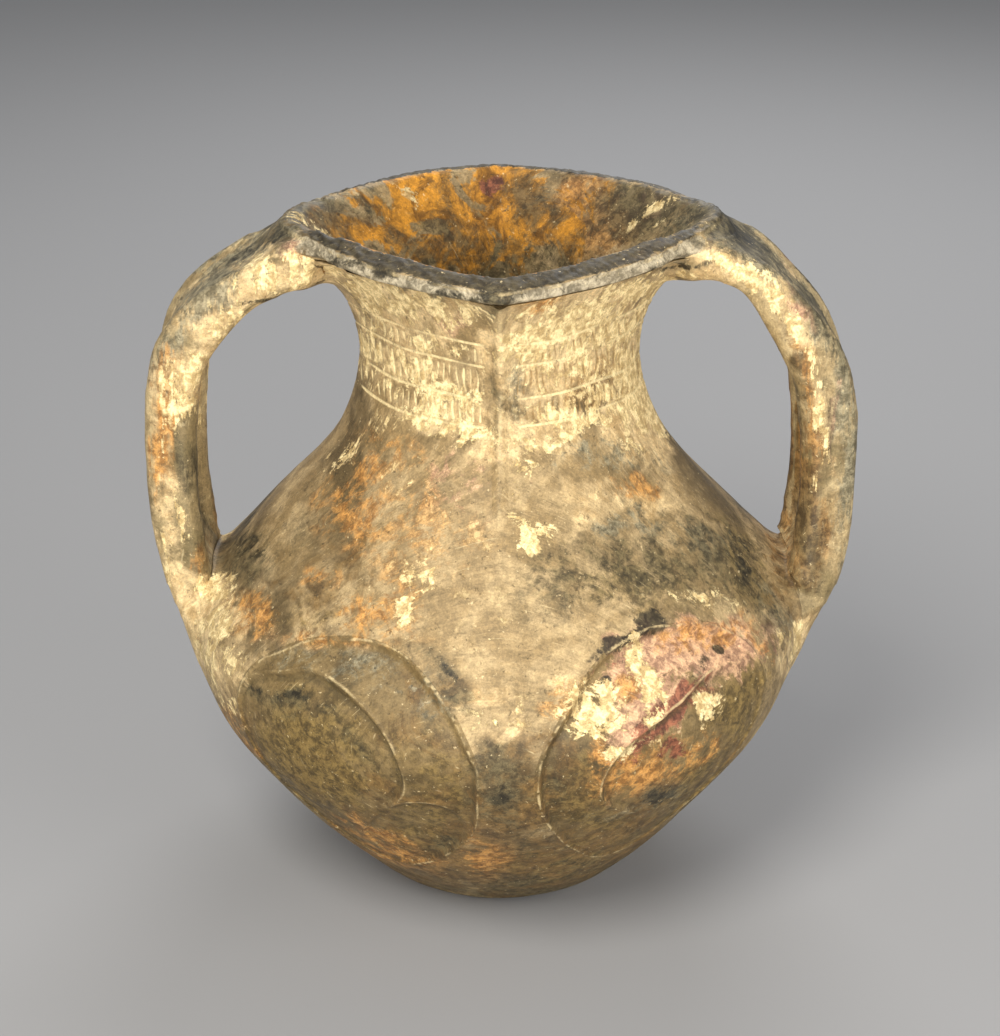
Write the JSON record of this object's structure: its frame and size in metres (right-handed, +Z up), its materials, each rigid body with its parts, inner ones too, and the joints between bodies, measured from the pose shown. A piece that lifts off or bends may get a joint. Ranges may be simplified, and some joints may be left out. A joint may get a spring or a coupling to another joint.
{
  "type": "two-handled amphora",
  "caption": "Hand-built fired clay jar with a round belly carved with whorls, a lozenge-shaped neck and mouth, and broad strap handles from the rim to the belly.",
  "frame": {"origin": "centre of the base's underside", "axes": "+Z up along the jar's axis, +X through the right handle, -Y to the front"},
  "size_m": [0.2456, 0.2186, 0.247],
  "materials": {
    "burnished_clay": "burnished, worn and stained with earth",
    "handle_clay": "burnished, worn and stained with earth",
    "whorl_clay": "burnished, worn and stained with earth"
  },
  "bodies": {
    "root": {"base_disc": "burnished_clay", "lower_wall": "burnished_clay", "belly": "burnished_clay", "shoulder": "burnished_clay", "neck_left": "burnished_clay", "neck_right": "burnished_clay", "neck_seam_front": "burnished_clay", "neck_seam_back": "burnished_clay", "rim_lip": "burnished_clay", "handle_left_strap": "handle_clay", "handle_left_front_edge": "handle_clay", "handle_left_back_edge": "handle_clay", "handle_right_strap": "handle_clay", "handle_right_front_edge": "handle_clay", "handle_right_back_edge": "handle_clay", "whorl_front_left": "whorl_clay", "whorl_front_right": "whorl_clay", "whorl_back_left": "whorl_clay", "whorl_back_right": "whorl_clay"}
  },
  "joints": []
}
